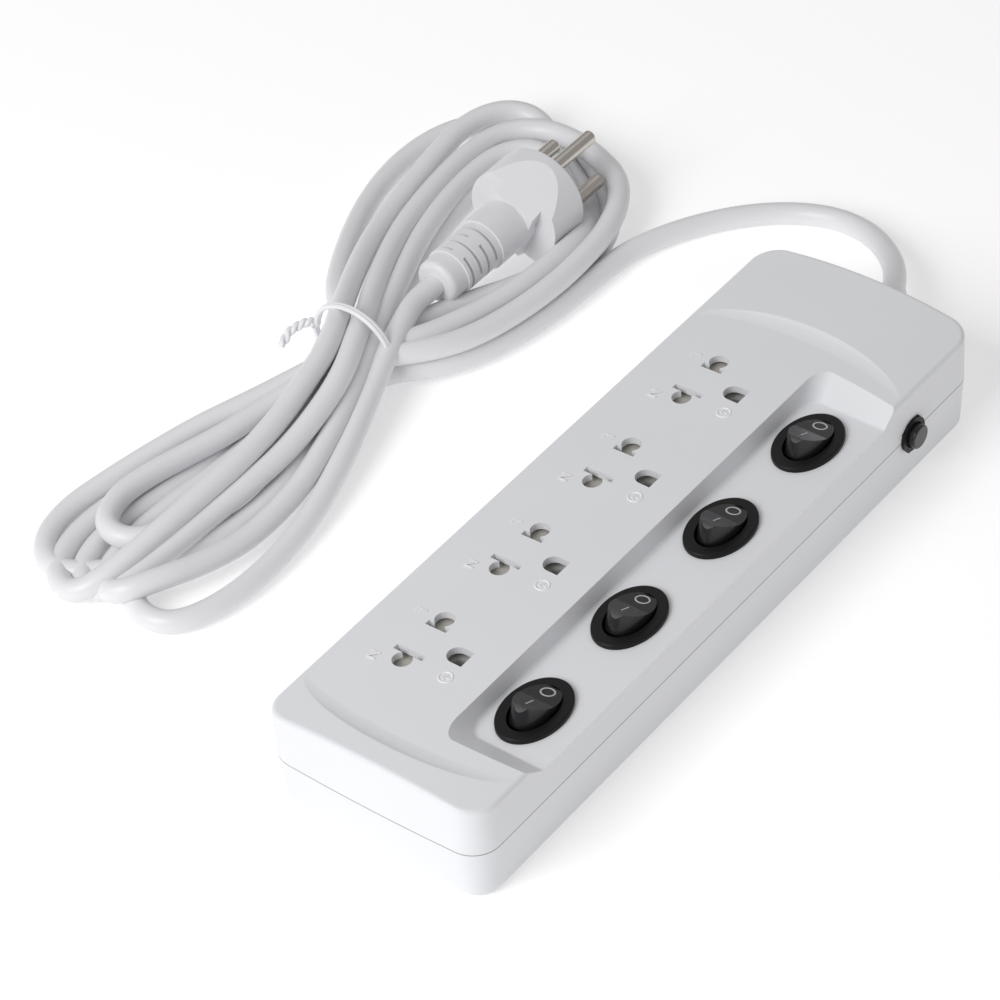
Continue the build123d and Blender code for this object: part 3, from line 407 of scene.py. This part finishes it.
FOLD_E1 = [
    (-133.0, 14.0, 9.0), (-131.5, -8.0, 5.0), (-132.0, -30.0, 4.0), (-133.5, -50.0, 4.0),
    (-132.5, -69.0, 4.0), (-127.0, -84.0, 4.0), (-117.0, -91.0, 4.0), (-106.0, -89.0, 4.0),
    (-99.8, -76.0, 4.0), (-97.8, -57.0, 4.0), (-100.0, -32.0, 5.0), (-108.0, -4.0, 8.0),
    (-116.0, 17.0, 11.0), (-121.0, 33.0, 15.5),
]

# %% Arcs of the upper lobe, from its left side over the far end to its right side
ARC_D = [
    (-133.5, 46.0, 15.0), (-142.0, 63.5, 12.0), (-153.5, 89.0, 9.5), (-159.5, 110.0, 8.5),
    (-162.0, 128.0, 8.0), (-160.5, 143.0, 8.5), (-151.5, 151.0, 9.0), (-140.0, 147.5, 8.0),
    (-129.5, 141.0, 5.0), (-119.5, 134.0, 4.0), (-112.0, 127.0, 7.0), (-108.5, 116.0, 11.0),
    (-108.5, 96.0, 11.3), (-111.0, 77.0, 11.3), (-115.5, 57.0, 13.0), (-120.5, 43.0, 14.5),
    (-131.5, 31.0, 15.0), (-138.5, 14.0, 13.5),
]
ARC_E = [
    (-134.0, 46.0, 9.0), (-143.0, 66.0, 5.5), (-154.5, 97.0, 4.0), (-158.5, 120.0, 4.0),
    (-158.0, 136.0, 4.0), (-150.0, 146.0, 4.0), (-139.5, 143.0, 4.0), (-129.5, 135.5, 4.0),
    (-119.0, 129.0, 4.0), (-110.8, 121.0, 6.0), (-108.5, 106.0, 7.5), (-109.5, 88.0, 7.5),
    (-112.5, 68.0, 8.0), (-119.0, 49.0, 10.0), (-135.0, 32.0, 10.5),
]
ARC_C = [
    (-137.0, 44.0, 18.5), (-143.5, 54.0, 16.0), (-153.5, 73.0, 13.0), (-162.0, 94.0, 11.0),
    (-166.4, 117.0, 10.5), (-168.0, 135.0, 10.5), (-165.5, 150.5, 10.5), (-155.5, 158.5, 11.0),
    (-142.5, 159.5, 11.3), (-130.0, 156.0, 11.5), (-117.0, 150.5, 11.5), (-108.0, 139.0, 11.5),
    (-103.0, 124.0, 11.3), (-101.4, 108.0, 11.0), (-101.2, 94.0, 11.0), (-103.0, 76.0, 11.0),
    (-107.0, 57.0, 12.0), (-114.0, 43.0, 13.5), (-126.0, 31.0, 14.0),
]
ARC_A = [
    (-148.0, 44.0, 14.5), (-160.5, 55.0, 10.0), (-175.8, 80.0, 6.0), (-186.0, 103.0, 4.0),
    (-190.0, 124.0, 4.0), (-188.5, 143.0, 4.0), (-181.0, 157.0, 4.0), (-167.5, 164.0, 4.0),
    (-152.0, 165.0, 4.0), (-137.0, 160.0, 4.0), (-123.5, 151.5, 4.0), (-112.0, 140.0, 4.0),
    (-105.5, 126.0, 4.0), (-104.8, 112.0, 4.0), (-105.5, 97.0, 4.0), (-108.0, 79.0, 4.0),
    (-112.5, 60.0, 5.0), (-119.0, 46.0, 6.5), (-130.5, 33.0, 7.0),
]
ARC_B = [
    (-148.5, 47.0, 18.0), (-159.5, 67.0, 13.5), (-168.0, 87.0, 10.5), (-173.5, 109.0, 9.5),
    (-176.5, 128.5, 10.5), (-178.0, 147.0, 11.3), (-172.0, 160.5, 11.3), (-160.5, 165.0, 9.5),
    (-148.5, 158.0, 4.5), (-136.5, 151.0, 4.0), (-124.5, 143.0, 4.0), (-114.5, 132.5, 4.0),
    (-111.8, 118.0, 4.0), (-112.4, 103.0, 4.5), (-115.0, 89.0, 7.0), (-119.8, 79.0, 7.6),
    (-124.0, 67.0, 9.0), (-127.0, 52.0, 12.0), (-135.0, 34.0, 14.0),
]
print("lower folds 6, upper arcs 5")

# %% The tail, up into the plug
TAIL = [(-124.5, 45.0, 17.5), (-128.2, 56.0, 17.2), (-128.6, 62.0, 17.1), (-128.6, 67.8, 17.1)]

# %% One spline from boot to plug
route = list(LEAD)
TURNS = [(FOLD_E2, ARC_D), (FOLD_A, ARC_E), (FOLD_D, ARC_C), (FOLD_B, ARC_A), (FOLD_C, ARC_B)]
for fold, arc in TURNS:
    route += fold + arc
route += FOLD_E1 + TAIL
cord_points = [tuple(value * MM for value in point) for point in route]
cord = curve_line("cord", [(cord_points, False)], CORD_DIAMETER / 2)

# %% [markdown]
# ## The wire tie
# A plastic-covered wire goes twice round the waist, and its ends are twisted together. The
# twist is a helix of two strands that follows a short bent path.

# %% Wire tie
TIE_WIRE = 0.0017
tie_centre = Vector((-0.135, 0.034, 0.014))
TIE_HALF_X = 0.0154
TIE_HALF_Z = 0.0134
LOOP_POINTS = 16


def tie_loop(shift_start, shift_end, turns):
    """Points round the waist that drift along the hank as they go round."""
    points = []
    steps = int(LOOP_POINTS * turns)
    for step in range(steps + 1):
        share = step / steps
        angle = pi + 2 * pi * turns * share
        along = shift_start + (shift_end - shift_start) * share
        points.append((
            tie_centre.x + TIE_HALF_X * cos(angle),
            tie_centre.y + along,
            tie_centre.z + TIE_HALF_Z * sin(angle),
        ))
    return points


TWIST = [
    (-151.0, 33.5, 15.5), (-153.5, 31.0, 15.5), (-155.5, 27.0, 14.0), (-156.0, 22.5, 11.0),
]


def twisted(points, radius, turns, phase):
    """A helix of given radius round a short path."""
    wound = []
    steps = 24
    path = [Vector(point) * MM for point in points]
    for step in range(steps + 1):
        share = step / steps * (len(path) - 1)
        low = min(int(share), len(path) - 2)
        spot = path[low].lerp(path[low + 1], share - low)
        heading = (path[low + 1] - path[low]).normalized()
        side = heading.cross(Vector((0, 0, 1))).normalized()
        up = side.cross(heading)
        angle = phase + 2 * pi * turns * step / steps
        wound.append(tuple(spot + side * radius * cos(angle) + up * radius * sin(angle)))
    return wound


tie_wire = to_mesh(
    curve_line(
        "tie",
        [
            (tie_loop(-0.0010, 0.0010, 2), False),
            (twisted(TWIST, 0.0008, 2.5, 0.0), False),
            (twisted(TWIST, 0.0008, 2.5, pi), False),
        ],
        TIE_WIRE / 2,
    ),
    "tie_wire",
)
place(tie_wire, HOUSING, TIE_WHITE)
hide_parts("cord_tie")
print("tie faces", len(tie_wire.data.polygons))

cord.data.materials.append(CORD_WHITE)
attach(cord, HOUSING)
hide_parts("cord_lead", "cord_hank", "cord_tail")

# %% [markdown]
# ## Marks beside the sockets
# A raised L, N and earth sign are moulded beside each socket's holes. One set is made flat and
# dropped point by point on to the crowned cover. The same set repeats at every socket, so
# Geometry Nodes copies it along a line of points, and a new pitch or count needs no new mesh.

# %% One set of marks
TEXT_SIZE = 0.0048
MARK_RISE = 0.00030
cover = frame["nodes"]["top_cover"].data
cover_tree = BVHTree.FromPolygons(
    [vertex.co for vertex in cover.vertices], [tuple(face.vertices) for face in cover.polygons]
)


def lay_on_cover(obj):
    """Drop a piece made around z = 0 on to the crowned cover, point by point."""
    for vertex in obj.data.vertices:
        above = Vector((vertex.co.x, vertex.co.y, 0.1))
        hit = cover_tree.ray_cast(above, Vector((0, 0, -1)))[0]
        vertex.co.z += hit.z


mounts = frame["record"]["mounts"]
socket_spots = [mount["pos_m"] for mount in mounts if mount["name"].startswith("socket_")]
PITCH = socket_spots[1][1] - socket_spots[0][1]


def letter(text, x, y, z, size, turn, name):
    """A raised letter lying on the cover, as a mesh in place."""
    data = bpy.data.curves.new(name, "FONT")
    data.body = text
    data.size = size
    data.align_x = "CENTER"
    data.align_y = "CENTER"
    data.extrude = MARK_RISE
    obj = bpy.data.objects.new(name, data)
    obj.location = (x, y, z)
    obj.rotation_euler = (0, 0, turn)
    bpy.context.collection.objects.link(obj)
    return to_mesh(obj, name)


def join_meshes(objects, name):
    """One mesh object holding all the given ones."""
    built = bmesh.new()
    for obj in objects:
        built.from_mesh(obj.data)
    mesh = bpy.data.meshes.new(name)
    built.to_mesh(mesh)
    built.free()
    return bpy.data.objects.new(name, mesh)


def bar(x, y, z, wide, deep, high):
    """A small raised bar."""
    built = bmesh.new()
    bmesh.ops.create_cube(built, size=1.0)
    bmesh.ops.scale(built, vec=(wide, deep, high), verts=built.verts)
    bmesh.ops.translate(built, vec=(x, y, z), verts=built.verts)
    mesh = bpy.data.meshes.new("bar")
    built.to_mesh(mesh)
    built.free()
    return bpy.data.objects.new("bar", mesh)


def ring(x, y, z, radius, wire, name):
    """A flat round ring lying in the XY plane."""
    turns = [2 * pi * step / 16 for step in range(16)]
    points = [(x + radius * cos(angle), y + radius * sin(angle), z) for angle in turns]
    return to_mesh(curve_line(name, [(points, True)], wire), name)


sx, sy = socket_spots[0][:2]
mark_l = letter("L", sx - 0.0082, sy + 0.0091, 0.0, TEXT_SIZE, radians(-90), "mark_l")
mark_n = letter("N", sx - 0.0084, sy - 0.0125, 0.0, TEXT_SIZE, radians(-90), "mark_n")
earth_x, earth_y = sx + 0.0149, sy - 0.0089
mark_e = [
    ring(earth_x, earth_y, 0.0, 0.0021, 0.00026, "earth_ring"),
    bar(earth_x + 0.0007, earth_y, 0.0, 0.0012, 0.0003, 0.0005),
    bar(earth_x + 0.0001, earth_y, 0.0, 0.0003, 0.0022, 0.0005),
    bar(earth_x - 0.0006, earth_y, 0.0, 0.0003, 0.0013, 0.0005),
]
mark_set = join_meshes([mark_l, mark_n, *mark_e], "mark_set")
lay_on_cover(mark_set)
print("one set of marks", len(mark_set.data.polygons), "faces")


# %% Copy the set along the sockets
def repeat_tree(name, material):
    """Geometry Nodes: copies an object's mesh along +Y, Count times, Pitch apart."""
    tree = bpy.data.node_groups.new(name, "GeometryNodeTree")
    tree.interface.new_socket("Geometry", in_out="INPUT", socket_type="NodeSocketGeometry")
    count = tree.interface.new_socket("Count", in_out="INPUT", socket_type="NodeSocketInt")
    pitch = tree.interface.new_socket("Pitch", in_out="INPUT", socket_type="NodeSocketFloat")
    tree.interface.new_socket("Geometry", in_out="OUTPUT", socket_type="NodeSocketGeometry")
    nodes, links = tree.nodes, tree.links
    start = nodes.new("NodeGroupInput")
    end = nodes.new("NodeGroupOutput")
    line = nodes.new("GeometryNodeMeshLine")
    step = nodes.new("ShaderNodeCombineXYZ")
    copies = nodes.new("GeometryNodeInstanceOnPoints")
    real = nodes.new("GeometryNodeRealizeInstances")
    finish = nodes.new("GeometryNodeSetMaterial")
    finish.inputs["Material"].default_value = material
    links.new(start.outputs["Count"], line.inputs["Count"])
    links.new(start.outputs["Pitch"], step.inputs["Y"])
    links.new(step.outputs["Vector"], line.inputs["Offset"])
    links.new(line.outputs["Mesh"], copies.inputs["Points"])
    links.new(start.outputs["Geometry"], copies.inputs["Instance"])
    links.new(copies.outputs["Instances"], real.inputs["Geometry"])
    links.new(real.outputs["Geometry"], finish.inputs["Geometry"])
    links.new(finish.outputs["Geometry"], end.inputs["Geometry"])
    return tree, count.identifier, pitch.identifier


def repeat_along(obj, material, name):
    """Run the copying tree on an object and return the plain mesh object."""
    tree, count, pitch = repeat_tree(name + " row", material)
    if obj.name not in bpy.context.scene.collection.all_objects:
        bpy.context.collection.objects.link(obj)
    modifier = obj.modifiers.new("row", "NODES")
    modifier.node_group = tree
    modifier[count] = SOCKETS
    modifier[pitch] = PITCH
    return to_mesh(obj, name)


socket_marks = repeat_along(mark_set, WHITE_MARK, "socket_marks")
place(socket_marks, HOUSING, WHITE_MARK)
print("socket marks", len(socket_marks.data.polygons), "faces")

# %% [markdown]
# ## Marks on the rockers
# Each rocker carries an O on one half and a bar on the other, printed in grey-white. They lie
# just proud of the two sloping planes of the paddle, so they are made flat, then turned with
# the plane they sit on.

# %% Rocker marks
hinges = [joint for joint in frame["joints"] if joint["type"] == "hinge"]
pivots = {joint["child"]: Vector(joint["pos_m"]) for joint in hinges}
TILT = radians(-20.0)
VEE = radians(5.0)
VALLEY = 0.0043
PRINT = 0.00012
O_FROM_VALLEY = 0.0051
I_FROM_VALLEY = 0.0036
for number in range(1, SOCKETS + 1):
    name = f"rocker_{number}"
    pivot = pivots[name]
    o_ring = ring(0, 0, 0, 0.0021, PRINT * 2.2, "o")
    o_ring.data.transform(Matrix.Diagonal((1, 1, 0.5, 1)))
    o_ring.data.transform(
        Matrix.Translation((0, 0, VALLEY)) @ Matrix.Rotation(VEE, 4, "X")
        @ Matrix.Translation((0, O_FROM_VALLEY, 0))
    )
    i_bar = bar(0, 0, 0, 0.0004, 0.0036, PRINT * 2)
    i_bar.data.transform(
        Matrix.Translation((0, 0, VALLEY)) @ Matrix.Rotation(-VEE, 4, "X")
        @ Matrix.Translation((0, -I_FROM_VALLEY, 0))
    )
    marks = join_meshes([o_ring, i_bar], f"rocker_marks_{number}")
    marks.data.transform(Matrix.Translation(pivot) @ Matrix.Rotation(TILT, 4, "X"))
    place(marks, name, MARK_PAINT)
print("rocker marks on", sorted(pivots))

# %% [markdown]
# ## Stage and light
# A pale floor and a bright, even studio: a large soft key from the near end, a weak one high
# behind, and the sky for fill. White plastic on white needs its ends brighter than its top, or
# its edges are lost. The floor glows a little, as a light table does.

# %% Stage
floor_mesh = bpy.data.meshes.new("floor")
built = bmesh.new()
bmesh.ops.create_grid(built, x_segments=1, y_segments=1, size=6.0)
built.to_mesh(floor_mesh)
built.free()
floor = bpy.data.objects.new("floor", floor_mesh)
floor.location = (0, 0, -0.00005)
floor_material = bpy.data.materials.new("pale floor")
floor_material.use_nodes = True
floor_shader = floor_material.node_tree.nodes["Principled BSDF"]
floor_shader.inputs["Base Color"].default_value = (0.93, 0.93, 0.93, 1.0)
floor_shader.inputs["Roughness"].default_value = 0.9
floor_shader.inputs["Emission Color"].default_value = (1.0, 1.0, 1.0, 1.0)
floor_shader.inputs["Emission Strength"].default_value = 0.28
floor_mesh.materials.append(floor_material)
bpy.context.collection.objects.link(floor)


def area_light(name, place_at, aim, size, power):
    """A soft square light pointed at a spot."""
    data = bpy.data.lights.new(name, "AREA")
    data.shape = "SQUARE"
    data.size = size
    data.energy = power
    obj = bpy.data.objects.new(name, data)
    obj.location = place_at
    obj.rotation_euler = (Vector(aim) - Vector(place_at)).to_track_quat("-Z", "Y").to_euler()
    bpy.context.collection.objects.link(obj)


area_light("key", (-0.25, -1.25, 1.05), (0, 0, 0), 0.9, 16.0)
area_light("top", (-0.5, 0.6, 1.5), (0, 0, 0), 1.6, 2.0)
world = bpy.data.worlds.new("studio")
world.use_nodes = True
world.node_tree.nodes["Background"].inputs["Color"].default_value = (1.0, 1.0, 1.0, 1.0)
world.node_tree.nodes["Background"].inputs["Strength"].default_value = 0.40
bpy.context.scene.world = world
bpy.context.scene.view_settings.view_transform = "Standard"
print("lights ready")
